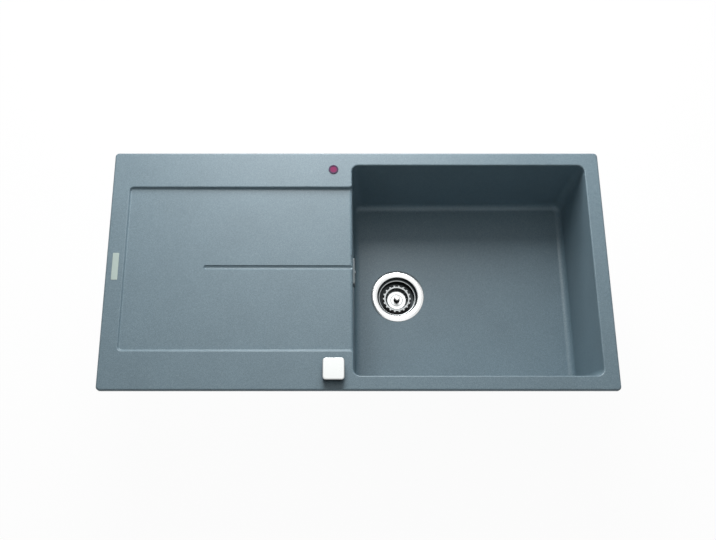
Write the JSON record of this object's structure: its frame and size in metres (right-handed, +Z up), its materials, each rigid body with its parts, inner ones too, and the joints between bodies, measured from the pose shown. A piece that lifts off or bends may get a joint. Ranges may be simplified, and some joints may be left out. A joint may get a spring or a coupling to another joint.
{
  "type": "kitchen sink with drainboard",
  "caption": "Inset composite kitchen sink with a large bowl, a recessed drainer, a knob-operated basket waste and an overflow.",
  "frame": {"origin": "centre of the rim's seat plane, which is the worktop's upper surface", "axes": "+X towards the bowl's end, +Y towards the back (wall side), +Z up"},
  "size_m": [1, 0.5, 0.3213],
  "materials": {
    "granite_composite": "matt moulded granite composite with fine speckle",
    "pale_plastic": "satin",
    "magenta_film": "satin adhesive film",
    "black_rubber": "matt",
    "grey_plastic": "satin moulded",
    "white_plastic": "satin moulded polypropylene",
    "white_hose": "satin corrugated",
    "black_plastic": "satin extruded",
    "galvanised_steel": "galvanised",
    "polished_steel": "polished",
    "brushed_steel": "fine brushed",
    "brass": "turned",
    "chromed_brass": "satin chromed brass"
  },
  "bodies": {
    "sink": {"sink_body": "granite_composite", "rim_plate": "pale_plastic", "tap_hole_marker": "magenta_film", "rim_seal": "black_rubber", "clamp_dowels": "grey_plastic", "clamp_bars": "galvanised_steel", "clamp_screws": "galvanised_steel", "waste_flange": "polished_steel", "waste_flange_gasket": "black_rubber", "waste_body_gasket": "black_rubber", "waste_ring_nut": "white_plastic", "waste_body": "white_plastic", "body_seal_ring": "black_rubber", "shaft_seal_ring": "black_rubber", "shaft_gland_nut": "white_plastic", "knob_gasket": "black_rubber", "knob_bush": "chromed_brass", "spindle_seal_ring": "black_rubber", "back_washer": "grey_plastic", "back_nut": "grey_plastic", "drum_housing": "grey_plastic", "drum_housing_lid": "grey_plastic", "lid_screws": "galvanised_steel", "cable_sheath": "black_plastic", "cable_ferrules": "chromed_brass", "cable_adjuster": "chromed_brass", "adjuster_nuts": "chromed_brass", "overflow_cover": "brushed_steel", "overflow_gasket": "black_rubber", "overflow_elbow": "white_plastic", "overflow_screw": "polished_steel", "overflow_hose": "white_hose", "hose_clamps": "galvanised_steel"},
    "control_knob": {"control_knob": "brushed_steel", "knob_grub_screw": "galvanised_steel", "knob_spindle": "brass", "cable_drum": "grey_plastic", "core_drum_end": "galvanised_steel"},
    "lift_shaft": {"lift_shaft": "brass", "crank_arm": "white_plastic", "crank_screw": "galvanised_steel"},
    "cable_core": {"cable_core": "galvanised_steel"},
    "lift_pin": {"lift_pin": "brass"},
    "basket": {"basket_strainer": "polished_steel", "basket_knob": "polished_steel", "basket_stem": "grey_plastic", "basket_seal": "black_rubber"}
  },
  "joints": [
    {"name": "knob_turn", "type": "hinge", "parent": "sink", "child": "control_knob", "pos_m": [-0.0475, -0.212, 0], "axis": [0, 0, 1], "range_deg": [0, 90]},
    {"name": "lift_shaft_turn", "type": "hinge", "parent": "sink", "child": "lift_shaft", "pos_m": [0.10745, -0.05, -0.2526], "axis": [0, 1, 0], "range_deg": [0, 30]},
    {"name": "core_pull", "type": "slide", "parent": "sink", "child": "cable_core", "axis": [-1, 0, 0], "range_m": [0, 0.01139]},
    {"name": "pin_lift", "type": "slide", "parent": "sink", "child": "lift_pin", "axis": [0, 0, 1], "range_m": [0, 0.008]},
    {"name": "basket_lift_out", "type": "slide", "parent": "lift_pin", "child": "basket", "axis": [0, 0, 1], "range_m": [0, 0.26]}
  ],
  "couplings": [
    {"joint": "lift_shaft_turn", "follows": "knob_turn", "ratio": 0.33333},
    {"joint": "core_pull", "follows": "knob_turn", "m_per_rad": 0.00725},
    {"joint": "pin_lift", "follows": "knob_turn", "m_per_rad": 0.005093}
  ]
}
